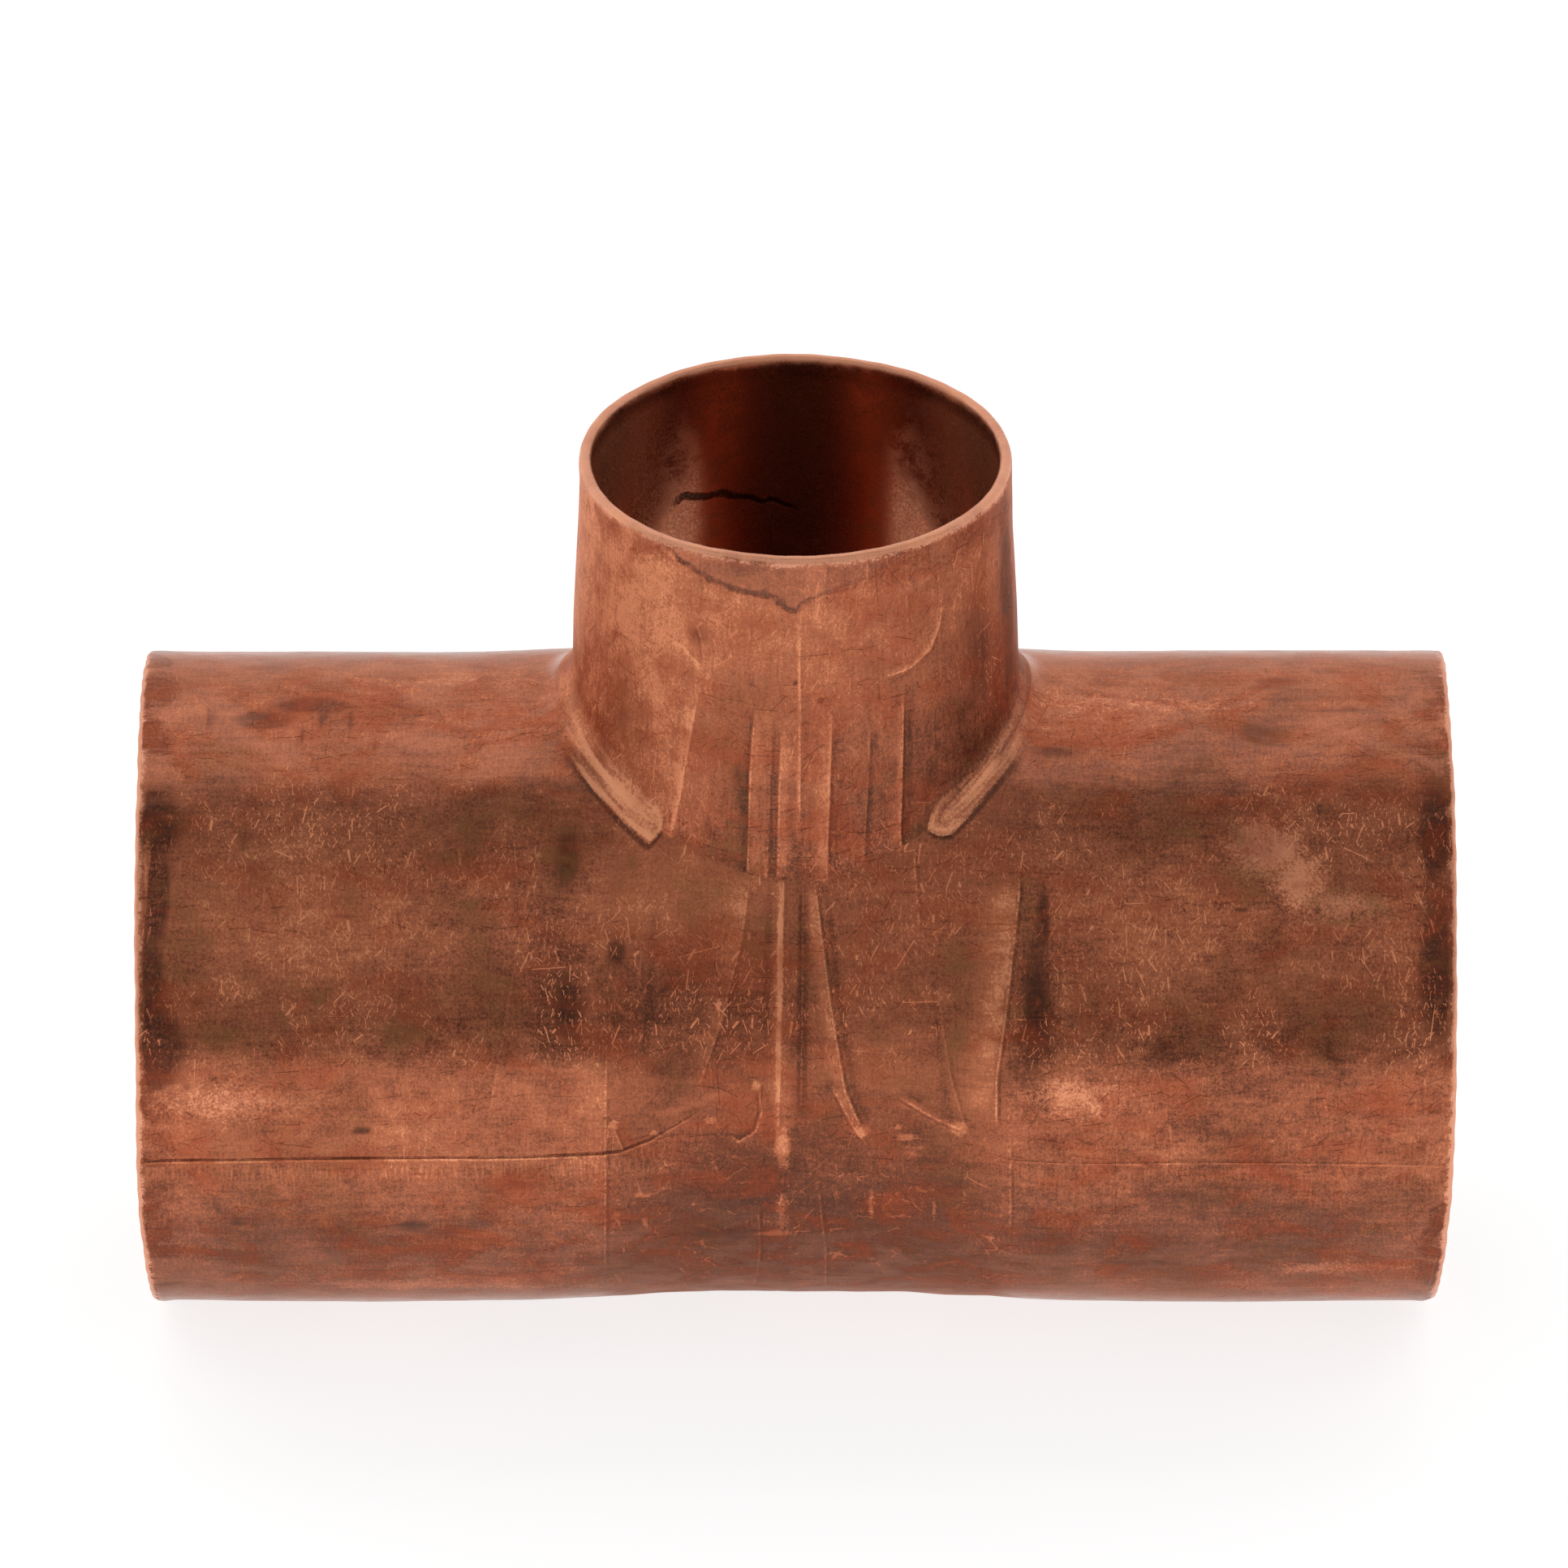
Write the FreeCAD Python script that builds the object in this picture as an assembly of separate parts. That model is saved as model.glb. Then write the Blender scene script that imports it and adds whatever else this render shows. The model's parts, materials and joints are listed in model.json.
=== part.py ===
"""Wrought copper reducing tee, for capillary (soldered) joints: 2 x 2 x 1-1/4 inch nominal.

The fitting is one seamless copper forging. A tube is bulged into a tee in a split die, its two run ends and
its branch are sized into sockets, and the ends are trimmed. Nothing is fastened to it and nothing moves.

It is built round the point where the run's axis crosses the branch's axis, with +X along the run and +Z up
the branch, then raised so that the finished part stands on the plane Z = 0. Millimetres.
"""

import FreeCAD, Part
import math
import os

# Run: the straight-through tube, with a socket at each end.
RUN_HALF_LENGTH = 56.6
RUN_OUTER_R = 28.45
RUN_SOCKET_R = 27.05
RUN_SOCKET_DEPTH = 34.0

# Middle of the run: smaller than the sockets, and lifted, because the metal is pulled up towards the branch.
BODY_OUTER_R = 28.15
BODY_OUTER_LIFT = 0.60
BODY_HALF_LENGTH = 8.0
BODY_BORE_R = 25.90
BODY_BORE_LIFT = 0.20
SOCKET_SHOULDER = 1.3

# Branch: a slightly tapered outlet with a plain socket.
BRANCH_HEIGHT = 51.7
BRANCH_TIP_R = 18.55
BRANCH_TAPER_DEG = 1.4
BRANCH_SOCKET_R = 17.53
BRANCH_SOCKET_DEPTH = 24.6
BRANCH_BORE_R = 16.70
BRANCH_SHOULDER = 0.50

# Rounded and bevelled edges.
CROTCH_FILLET = 3.0
INNER_CROTCH_FILLET = 0.4
OUTER_EDGE_FILLET = 0.45
MOUTH_CHAMFER = 0.25

X_AXIS = FreeCAD.Vector(1, 0, 0)
Y_AXIS = FreeCAD.Vector(0, 1, 0)
STOP_X = RUN_HALF_LENGTH - RUN_SOCKET_DEPTH
STOP_Z = BRANCH_HEIGHT - BRANCH_SOCKET_DEPTH
BLEND_END_X = STOP_X + 2.4
BLEND_STEPS = 12


def ease(t):
    """0 to 1 with no slope at either end."""
    return t * t * (3 - 2 * t)


def ring(x, radius, lift):
    """A circular wire round the run at x, its centre lifted above the run's axis."""
    centre = FreeCAD.Vector(x, 0, lift)
    return Part.Wire(Part.makeCircle(radius, centre, X_AXIS))


def run_loft(places, ruled=False):
    """A solid round the run through the rings at (x, radius, lift)."""
    return Part.makeLoft([ring(*place) for place in places], True, ruled)


def run_cylinder(radius, x_from, x_to, lift=0.0):
    return Part.makeCylinder(radius, x_to - x_from, FreeCAD.Vector(x_from, 0, lift), X_AXIS)


def waist_share(x):
    """How far the run is drawn in at x: 1 under the branch, 0 over the sockets."""
    from_end = (BLEND_END_X - abs(x)) / (BLEND_END_X - BODY_HALF_LENGTH)
    return ease(min(1.0, from_end))


def outer_run():
    """The outside of the run: a plain barrel over each socket, drawn in under the branch."""
    places = []
    for i in range(-BLEND_STEPS, BLEND_STEPS + 1):
        x = BLEND_END_X * i / BLEND_STEPS
        share = waist_share(x)
        places.append((x, RUN_OUTER_R + (BODY_OUTER_R - RUN_OUTER_R) * share, BODY_OUTER_LIFT * share))
    left = run_cylinder(RUN_OUTER_R, -RUN_HALF_LENGTH, -BLEND_END_X)
    right = run_cylinder(RUN_OUTER_R, BLEND_END_X, RUN_HALF_LENGTH)
    return left.fuse([run_loft(places), right])


def outer_branch():
    base_r = BRANCH_TIP_R + BRANCH_HEIGHT * math.tan(math.radians(BRANCH_TAPER_DEG))
    return Part.makeCone(base_r, BRANCH_TIP_R, BRANCH_HEIGHT)


def edges_where(shape, test):
    return [e for e in shape.Edges if test(e.BoundBox)]


def is_crotch_edge(box):
    """The seam where the branch leaves the run: wide in X and Y, and all of it above the axis."""
    return box.XLength > 5 and box.YLength > BRANCH_TIP_R / 2 and box.ZMin > 5 and box.ZMax < RUN_OUTER_R + 2


def at_plane(axis, value):
    """A test for edges lying in the plane axis = value."""
    low, high = {"x": ("XMin", "XMax"), "z": ("ZMin", "ZMax")}[axis]
    return lambda box: abs(getattr(box, low) - value) < 1e-3 and abs(getattr(box, high) - value) < 1e-3


def outer_body():
    """The solid envelope of the tee, with the crotch and the three outer lips rounded."""
    body = outer_run().fuse(outer_branch()).removeSplitter()
    body = body.makeFillet(CROTCH_FILLET, edges_where(body, is_crotch_edge))
    lips = []
    for axis, value in (("x", -RUN_HALF_LENGTH), ("x", RUN_HALF_LENGTH), ("z", BRANCH_HEIGHT)):
        lips += edges_where(body, at_plane(axis, value))
    return body.makeFillet(OUTER_EDGE_FILLET, lips)


def run_bore():
    """The bore between the two run sockets, with a sloping shoulder for each tube to stop against."""
    bore_end = STOP_X - SOCKET_SHOULDER
    bore = run_cylinder(BODY_BORE_R, -bore_end, bore_end, BODY_BORE_LIFT)
    shoulders = []
    for side in (-1, 1):
        at_socket = (side * STOP_X, RUN_SOCKET_R, 0.0)
        at_bore = (side * bore_end, BODY_BORE_R, BODY_BORE_LIFT)
        shoulders.append(run_loft([at_socket, at_bore], ruled=True))
    return bore.fuse(shoulders)


def waterway():
    """Everything that is empty inside: two run sockets, the branch socket and the bores that join them."""
    sockets = [
        run_cylinder(RUN_SOCKET_R, -RUN_HALF_LENGTH, -STOP_X),
        run_cylinder(RUN_SOCKET_R, STOP_X, RUN_HALF_LENGTH),
    ]
    branch_bore = Part.makeCylinder(BRANCH_BORE_R, STOP_Z)
    shoulder = Part.makeCone(BRANCH_BORE_R, BRANCH_SOCKET_R, BRANCH_SHOULDER)
    shoulder.translate(FreeCAD.Vector(0, 0, STOP_Z - BRANCH_SHOULDER))
    branch_socket = Part.makeCylinder(BRANCH_SOCKET_R, BRANCH_SOCKET_DEPTH, FreeCAD.Vector(0, 0, STOP_Z))
    return run_bore().fuse(sockets + [branch_bore, shoulder, branch_socket])


def mouth_bevels():
    """The deburred inner edges of the three sockets, as cones to cut away."""
    run_bevel = Part.makeCone(RUN_SOCKET_R, RUN_SOCKET_R + MOUTH_CHAMFER, MOUTH_CHAMFER)
    run_bevel.translate(FreeCAD.Vector(0, 0, RUN_HALF_LENGTH - MOUTH_CHAMFER))
    right, left = run_bevel.copy(), run_bevel.copy()
    right.rotate(FreeCAD.Vector(0, 0, 0), Y_AXIS, 90)
    left.rotate(FreeCAD.Vector(0, 0, 0), Y_AXIS, -90)
    branch = Part.makeCone(BRANCH_SOCKET_R, BRANCH_SOCKET_R + MOUTH_CHAMFER, MOUTH_CHAMFER)
    branch.translate(FreeCAD.Vector(0, 0, BRANCH_HEIGHT - MOUTH_CHAMFER))
    return [left, right, branch]


def is_inner_crotch_edge(box):
    """The saddle-shaped seam, in two halves, where the branch's bore opens into the run's bore."""
    is_as_wide_as_bore = BRANCH_BORE_R < box.XLength < 2 * BRANCH_SOCKET_R
    return is_as_wide_as_bore and box.YLength > BRANCH_BORE_R / 2 and box.ZMin > 5 and box.ZLength > 5


def tee_body():
    """The finished fitting, standing on the plane Z = 0."""
    empty = waterway().removeSplitter()
    tee = outer_body().cut(empty).cut(mouth_bevels())
    tee = tee.makeFillet(INNER_CROTCH_FILLET, edges_where(tee, is_inner_crotch_edge))
    tee.translate(FreeCAD.Vector(0, 0, RUN_OUTER_R))
    return tee


tee = tee_body()
print("valid", tee.isValid(), "solids", len(tee.Solids), "volume_mm3", round(tee.Volume, 1))
os.makedirs("parts", exist_ok=True)
tee.exportStep("parts/tee_body.step")
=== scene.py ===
"""Looks of the copper reducing tee: its skin as one closed mesh, the copper, the floor, light and camera.

The skin is laid out in millimetres about the point where the run's axis crosses the branch's, with x along
the run, z up the branch and the front on the side with negative y. It is moved to the CAD's frame at the end.
A place on the run is (x, lean): lean is the angle above the horizontal through its axis, in degrees. A place
on the branch is (turn, z): turn is the angle round from the front towards +x, in degrees.
"""

import json
import math
from functools import reduce

import bmesh
import bpy
import numpy as np
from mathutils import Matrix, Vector


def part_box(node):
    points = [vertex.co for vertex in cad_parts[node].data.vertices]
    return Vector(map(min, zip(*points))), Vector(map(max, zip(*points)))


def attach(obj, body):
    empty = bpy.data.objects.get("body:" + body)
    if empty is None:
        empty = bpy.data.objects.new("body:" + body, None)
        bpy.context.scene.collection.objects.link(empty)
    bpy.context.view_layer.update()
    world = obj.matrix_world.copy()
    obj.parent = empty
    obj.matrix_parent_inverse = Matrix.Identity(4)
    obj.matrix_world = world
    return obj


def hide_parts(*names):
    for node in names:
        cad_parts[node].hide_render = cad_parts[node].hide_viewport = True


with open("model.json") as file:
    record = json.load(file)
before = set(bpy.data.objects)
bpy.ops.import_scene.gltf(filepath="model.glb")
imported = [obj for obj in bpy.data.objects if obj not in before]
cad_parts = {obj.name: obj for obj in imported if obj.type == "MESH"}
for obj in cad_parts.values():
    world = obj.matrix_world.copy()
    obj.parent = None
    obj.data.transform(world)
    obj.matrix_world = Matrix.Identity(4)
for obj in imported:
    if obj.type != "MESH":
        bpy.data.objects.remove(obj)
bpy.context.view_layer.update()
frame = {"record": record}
MM = 0.001

# Dimensions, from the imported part.
mounts = {m["name"]: m for m in frame["record"]["mounts"]}
low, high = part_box("tee_body")
AXIS_Z = mounts["run_right_socket"]["pos_m"][2] / MM
HALF_LENGTH = high[0] / MM
RUN_R = high[1] / MM
BRANCH_TOP = high[2] / MM - AXIS_Z
RUN_SOCKET_R = mounts["run_right_socket"]["dims"]["r_mm"]
RUN_STOP_X = HALF_LENGTH - mounts["run_right_socket"]["dims"]["length_mm"]
BRANCH_SOCKET_R = mounts["branch_socket"]["dims"]["r_mm"]
BRANCH_STOP_Z = BRANCH_TOP - mounts["branch_socket"]["dims"]["length_mm"]

# The middle of the run is drawn in, and lifted towards the branch.
WAIST_FULL_X = 8.0
WAIST_END_X = 25.0
WAIST_IN = 0.3
WAIST_LIFT = 0.6
BRANCH_TIP_R = 18.55
BRANCH_TAPER = 0.0244
BRANCH_FOOT_Z = 8.0
CROTCH_Z = 25.0
RUN_BORE_R = 25.9
BRANCH_BORE_R = 16.7
BORE_LIFT = 0.2
BRANCH_SHOULDER = 0.5
RUN_SHOULDER = 1.3
# The skin of the run's bore is divided like the outside, drawn together by this share.
BORE_SHARE = 0.74

# Crotch: a pressed flat band round the sides of the branch, and a tight bend across its front and back.
LEFT_BAND_CUT = 1.85
RIGHT_BAND_CUT = 1.55
SIDE_EXTRA_CUT = 0.5
TIGHT_CUT = 0.35
FOOT_FLARE = 0.38
PILED_UP = 0.3
BAND_END_TURN = 34.0
EDGE_BLEND = 0.7

# Cut ends: how far the outer edges are rounded, in from the skin and back from the end, and the inner bevels.
# The run's outer edges are rounded by a share of RUN_LIP_BACK, with an extra share towards the underside.
LIP_IN = 0.5
RIM_LIP_BACK = 0.6
RUN_LIP_BACK = 1.0
RUN_LIP_SHARE = 0.55
LEFT_LIP_EXTRA = 0.45
RIGHT_LIP_EXTRA = 1.1
RUN_MOUTH_BEVEL = 0.3
BRANCH_MOUTH_BEVEL = 0.42
WALL_TOP = BRANCH_TOP - RIM_LIP_BACK

# How the skin is divided.
WINDOW_X = 27.0
WINDOW_ANGLE = math.radians(65)
FRONT_GAP = 0.8
MIDDLE_GAP = 0.6
BACK_GAP = 1.1
FINE_GAP = 0.2
PARTING_ANGLE = math.radians(93)

# Millimetres on the skin for each degree round the run, and round the foot of the branch.
BRANCH_FOOT_R = 18.9
DEGREE_RUN = math.radians(1) * RUN_R
DEGREE_BRANCH = math.radians(1) * BRANCH_FOOT_R
RUN_SCALE = (1, DEGREE_RUN)
BRANCH_SCALE = (DEGREE_BRANCH, 1)
# A distance in mm that stands for nowhere near.
FAR = 9.0


def smooth(t):
    t = np.clip(t, 0, 1)
    return t * t * (3 - 2 * t)


def fade(value, start, end):
    """0 where value is at start or before it, 1 at end or past it, smooth between. end may be the lower."""
    return smooth((value - start) / (end - start))


def waves(p, wavelength, seed, count=24):
    """Smooth unevenness of about unit size over points p, with nothing much finer than wavelength."""
    rng = np.random.default_rng(seed)
    total = np.zeros(len(p))
    for _ in range(count):
        way = rng.normal(size=3)
        way *= 2 * math.pi / wavelength / np.linalg.norm(way) * rng.uniform(0.5, 1.1)
        total += np.sin(p @ way + rng.uniform(0, 2 * math.pi))
    return total / math.sqrt(count / 2)


# ---- the smooth form of the outside

def waist(x):
    return fade(np.abs(x), WAIST_END_X, WAIST_FULL_X)


def branch_radius(z):
    return BRANCH_TIP_R + BRANCH_TAPER * (BRANCH_TOP - z) + FOOT_FLARE * fade(z, 48, 29)


def turn_of(p):
    return np.degrees(np.arctan2(p[:, 0], -p[:, 1]))


def lean_of(p):
    return np.degrees(np.arctan2(p[:, 2] - WAIST_LIFT * waist(p[:, 0]), np.abs(p[:, 1])))


def branch_gap(p):
    """Distance outside the branch's wall. The branch starts inside the run, above its axis."""
    return np.hypot(p[:, 0], p[:, 1]) - branch_radius(p[:, 2]) + np.maximum(BRANCH_FOOT_Z - p[:, 2], 0)


def run_gap(p):
    """Distance outside the run's barrel, which is piled up a little round the foot of the branch."""
    w = waist(p[:, 0])
    piled = PILED_UP * fade(branch_gap(p), 12, 1) * fade(p[:, 2], 17, 24)
    return np.hypot(p[:, 1], p[:, 2] - WAIST_LIFT * w) - (RUN_R - WAIST_IN * w + piled)


def band_share(p):
    """1 where the crotch is a pressed band, round the branch's sides, and 0 across its front and back."""
    from_middle = 90 - np.abs(np.abs(turn_of(p)) - 90)
    is_sharp = p[:, 0] * p[:, 1] > 0
    starts = BAND_END_TURN - np.where(is_sharp, 2, 7)
    return fade(from_middle, starts, BAND_END_TURN + np.where(is_sharp, 2, 6))


def soft_min(a, b, k):
    melt = np.maximum(k - np.abs(a - b), 0) / k
    return np.minimum(a, b) - melt * melt * k / 4


def crotch_gap(p):
    """Distance outside the sloping band that fills the crotch."""
    from_side = np.abs(np.abs(turn_of(p)) - 90)
    band_cut = np.where(p[:, 0] < 0, LEFT_BAND_CUT, RIGHT_BAND_CUT) + SIDE_EXTRA_CUT * fade(from_side, 40, 5)
    cut = TIGHT_CUT + band_share(p) * (band_cut - TIGHT_CUT)
    return (run_gap(p) + branch_gap(p) - cut) * math.sqrt(0.5)


def skin_gap(p):
    """Distance outside the whole tee."""
    k = EDGE_BLEND
    return soft_min(soft_min(run_gap(p), branch_gap(p), k), crotch_gap(p), k)


def skin_slope(p):
    step = 0.02
    slope = np.empty_like(p)
    for axis in range(3):
        offset = np.zeros(3)
        offset[axis] = step
        slope[:, axis] = (skin_gap(p + offset) - skin_gap(p - offset)) / (2 * step)
    return slope


def onto_skin(p):
    """Points moved onto the smooth form."""
    for _ in range(6):
        slope = skin_slope(p)
        size = (slope * slope).sum(axis=1, keepdims=True)
        p = p - skin_gap(p)[:, None] * slope / np.maximum(size, 0.2)
    return p


# ---- marks pressed and drawn into the skin

# Places on the run are (x, lean) and on the branch (turn, z). Most paths run upwards, so that their left is
# towards -x on the front. The back has the run's marks too, fainter and turned round.

# Ridges on the run and lines on the branch that the relief and the pale strips both follow.
LEFT_RIDGE = [(-8.4, 9), (-6.3, 22), (-4.6, 36), (-3.9, 48)]
RIGHT_RIDGE = [(6, -0.5), (4.2, 8.8), (2.9, 25), (1.4, 49)]
RIGHT_FOLD = [(14.3, 1.6), (11.8, 3.9), (8.7, 7.8)]
FIRST_LINE = [(-11.9, 21), (-11.4, 31), (-10, 39)]
SECOND_LINE = [(-4.4, 20.8), (-4, 30), (-3.2, 37)]
MIDDLE_LINE = [(0.8, 24), (1.2, 38), (1, 48.5)]
THIRD_LINE = [(7.6, 20.8), (8.4, 30), (9.3, 38.5)]
FOURTH_LINE = [(26.9, 22.4), (27.6, 30), (28.8, 39)]

# Each mark is a path, a height, and the widths over which its left and right sides fall away, all in mm. A
# negative height is a groove. Those with turns past 90 are on the branch's back.
BRANCH_MARKS = [
    ([(-37, 20.5), (-33, 23), (-30.8, 27.5)], 0.32, 0.6, 0.3),
    ([(-32, 24), (-29, 31), (-25.5, 39)], 0.13, 0.9, 0.3),
    (FIRST_LINE, 0.17, 0.12, 1.1),
    ([(-7.2, 21), (-6.6, 30), (-5.8, 38)], 0.09, 0.45, 0.16),
    (SECOND_LINE, 0.12, 0.14, 0.8),
    (MIDDLE_LINE, 0.05, 0.14, 0.12),
    (THIRD_LINE, 0.26, 0.9, 0.15),
    ([(17, 22.3), (18.4, 30), (19.5, 37)], 0.06, 0.6, 0.14),
    (FOURTH_LINE, 0.17, 0.65, 0.18),
    ([(-24.5, 40.3), (-31, 42), (-38, 42.6)], 0.09, 0.25, 0.15),
    ([(23.5, 39.7), (31, 40), (37.5, 41.2), (41, 43.4), (42, 46)], 0.12, 0.4, 0.2),
    ([(-24.5, 41.2), (-24.8, 42.8), (-26.6, 44.4), (-28.6, 44)], 0.11, 0.15, 0.25),
    ([(170, 22), (171, 37)], 0.14, 0.14, 0.9),
    ([(-172, 21), (-173, 39)], 0.16, 0.7, 0.14),
    ([(-179, 24), (-179, 48)], 0.05, 0.2, 0.12),
    ([(152, 22), (153, 36)], 0.1, 0.5, 0.2),
    ([(-151, 22), (-153, 38)], 0.12, 0.2, 0.7),
]
# Ridges drawn down from the branch, folds by the parting line, and the edges of the die's middle block.
RUN_MARKS = [
    ([(-1.5, 1), (-1.3, 31), (-1, 49)], 0.28, 0.42, 0.3),
    ([(0.5, 4), (0.7, 49)], -0.09, 0.35, 0.45),
    (RIGHT_RIDGE, 0.16, 0.9, 0.15),
    (LEFT_RIDGE, 0.08, 0.9, 0.2),
    ([(10.6, 38), (10.4, 42), (10.1, 52)], 0.1, 0.2, 0.2),
    ([(14.6, 1.5), (13.2, 12), (12.1, 27)], 0.07, 0.5, 0.15),
    ([(-26.5, 2), (-24.6, 25), (-22.9, 45), (-20.9, 60)], 0.06, 0.22, 0.7),
    ([(-16.5, -34), (-16.3, 4), (-16.2, 18)], 0.12, 1.6, 0.16),
    ([(17.2, 2), (17.2, 12), (18, 24), (19.1, 44), (19.2, 51)], 0.2, 2.4, 0.16),
    ([(18.5, -20), (18.4, 1)], 0.09, 1.4, 0.17),
    ([(-13.4, 26), (-13.1, 37)], 0.05, 0.2, 0.2),
    ([(-5.6, 0.2), (-4.9, -1.2), (-3.4, 1), (-2.9, 4.7), (-3.1, 9.4)], 0.22, 0.22, 0.35),
    ([(5.8, -1), (4.5, 3.9), (2.9, 10.8)], 0.14, 0.2, 0.5),
    (RIGHT_FOLD, 0.14, 0.22, 0.6),
    ([(-14.8, -2.6), (-15.6, 2.2)], 0.12, 0.35, 0.3),
    ([(-3.6, -47), (-3.1, -30), (-3.2, -15)], -0.09, 0.16, 0.16),
    ([(2.6, -47), (2.6, -30), (2, -11)], -0.13, 0.16, 0.16),
]
# The die's parting line, as paths and strengths: clear to the left of the branch and fainter to its right.
PARTING = [
    ([(-57.5, -3.9), (-36, -3.2), (-15.3, -2.8), (-12.5, -0.6), (-9, 3.9), (-6, 8)], 1),
    ([(57.5, -4.6), (40, -3.8), (24, -3.9), (18.8, -3.9), (14.4, -1.8)], 0.5),
]
# Paler strips beside some of the marks: path, widths to the left and right in mm, strength.
RUN_STRIPS = [
    ([(16.6, 3), (16.9, 14), (17.8, 25), (18.9, 44), (19.1, 52)], 3.6, 0.15, 0.75),
    ([(-1.5, -3), (-1.3, 31), (-1, 49)], 0.5, 0.45, 1.2),
    ([(-0.9, -6), (-1, 10), (-1.2, 26)], 1.2, 0.9, 0.5),
    (RIGHT_RIDGE, 1.3, 0.12, 0.55),
    (LEFT_RIDGE, 2.4, 0.25, 0.45),
    (RIGHT_FOLD, 1, 0.3, 0.45),
    ([(-12.5, 3.5), (-8, 6.5), (-5, 9.5)], 0.8, 0.3, 0.45),
]
BRANCH_STRIPS = [
    (FIRST_LINE, 0.1, 1.8, 0.45),
    (SECOND_LINE, 0.1, 1.3, 0.6),
    (THIRD_LINE, 1.3, 0.1, 0.6),
    ([(-36, 20), (-33, 23), (-29, 31), (-25.5, 39)], 1.2, 0.2, 0.6),
    (FOURTH_LINE, 0.8, 0.12, 0.5),
    (MIDDLE_LINE, 0.3, 0.12, 0.8),
    ([(23, 39.7), (31, 40), (37.5, 41.2), (41, 43.4), (42, 47)], 0.55, 0.5, 0.8),
    ([(-24, 40), (-31, 42), (-39, 43)], 0.45, 0.4, 0.7),
]
# Broad lighter and darker places on the run, as (x, lean, half length, half height in mm, strength).
RUN_SHADES = [
    (-44, 44, 12, 5, 0.14), (-44, 28, 14, 3.5, 0.1), (-44, 0, 12, 3.5, 0.08), (-44, -34, 16, 7, -0.12),
    (36, 70, 12, 4, -0.12), (36, 27, 10, 3, 0.1), (36, 8, 14, 7, -0.14), (-9, 46, 8, 4, 0.2),
    (-9, 21, 8, 5, -0.22), (0, -6, 15, 6, -0.22), (0, -30, 20, 10, -0.22), (20.6, 25, 1.5, 8, -0.26),
    (-20.5, 27, 2, 8, -0.2), (36, -20, 14, 6, -0.16), (-20, 4, 3, 4, 0.05),
]
# Darker strips, in the same form as the paler ones.
RUN_DARK_STRIPS = [
    ([(0.6, 2), (0.7, 49)], 0.7, 0.7, 0.9),
    ([(-2.7, 16), (-2.1, 49)], 0.5, 0.5, 0.6),
    ([(6.6, -0.5), (4.9, 8.8), (3.6, 25), (2.3, 49)], 0.2, 0.7, 0.6),
    ([(-12.9, 14), (-12.2, 34), (-11.6, 46)], 0.6, 0.5, 0.4),
    ([(13.4, 2), (12.4, 16), (11.4, 34)], 0.5, 0.4, 0.5),
]
BRANCH_DARK_STRIPS = [
    ([(-13.2, 21), (-12.6, 31), (-11.2, 38)], 1, 0.2, 0.6),
    ([(9.2, 20.8), (9.8, 30), (10.9, 38.5)], 0.2, 1.1, 0.6),
    ([(28.6, 22.4), (29.3, 30), (30.5, 39)], 0.2, 0.8, 0.7),
    ([(-6.6, 21), (-6, 30), (-5.2, 38)], 0.5, 0.15, 0.5),
    ([(17.6, 21), (18.8, 30), (20, 37)], 0.15, 0.6, 0.5),
]
# The lower edge of the stain that hangs from the branch's rim.
RIM_STAIN = [
    (-42, 52.2), (-34, 50.6), (-28, 49.4), (-20, 48.6), (-12, 48.2), (-6, 47.9), (-2.5, 46.9), (0, 46.4),
    (2.5, 47.4), (7, 48), (12, 48.3), (18, 49.2), (26, 50.4), (34, 52.2),
]
# A crack inside the branch's socket, on its far wall, as (x, z).
CRACK = [
    (-10.6, 39.3), (-9.8, 40), (-8.8, 39.4), (-7.8, 39.2), (-6.4, 39.3), (-5.2, 38.6), (-4, 38.5), (-3, 37.8),
    (-2, 38), (-1, 37.4), (0.6, 37),
]

# Spots, as (x, lean, half length, half height in mm, strength): dark stains, pinker places and bare places.
RUN_STAINS = [
    (-46, 81.3, 2.6, 1.3, 1), (-41.5, 85.6, 3.4, 1.2, 1), (-50.3, 82.5, 0.5, 2.6, 0.9),
    (-40.6, 82, 0.4, 1.8, 1), (-38.2, 80.5, 0.4, 2, 0.8), (-42.6, 77, 0.4, 1.3, 0.7),
    (-55.3, 57, 2.6, 3.6, 1), (-54.6, 45, 1, 4.5, 1.1), (-55.4, 31, 1.5, 4.5, 0.9),
    (-55.2, 18, 2.8, 3.4, 1.1), (-38.5, 41.1, 2, 0.22, 1.3), (-37.2, 2.6, 0.7, 0.5, 1),
    (-32.9, -18.8, 1.8, 0.8, 0.9), (-47.9, -18, 0.8, 0.8, 0.8), (-52.2, 10.5, 0.8, 0.6, 0.6),
    (-19.5, 51, 1.4, 3.4, 0.7), (-15.3, 34, 1, 1.8, 0.8), (-19.4, 25, 1.8, 3.4, 0.7),
    (-5.6, -23.3, 6.5, 1.2, 0.6), (21.2, 40.5, 0.5, 3, 1), (20.6, 24, 1.6, 7, 0.6),
    (35.2, 54.7, 1.1, 0.25, 1.1), (38, 41.9, 0.6, 0.25, 0.9), (45, 60.6, 0.5, 0.7, 0.9),
    (55, 56, 1.7, 4, 1), (55, 31, 1.6, 6, 1), (39.9, 78.4, 2.4, 2.2, 0.6),
    (22.3, 72.6, 3, 0.9, 0.7), (47, 84, 4, 0.8, 0.6), (30, -30, 5, 0.9, 0.6),
]
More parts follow.
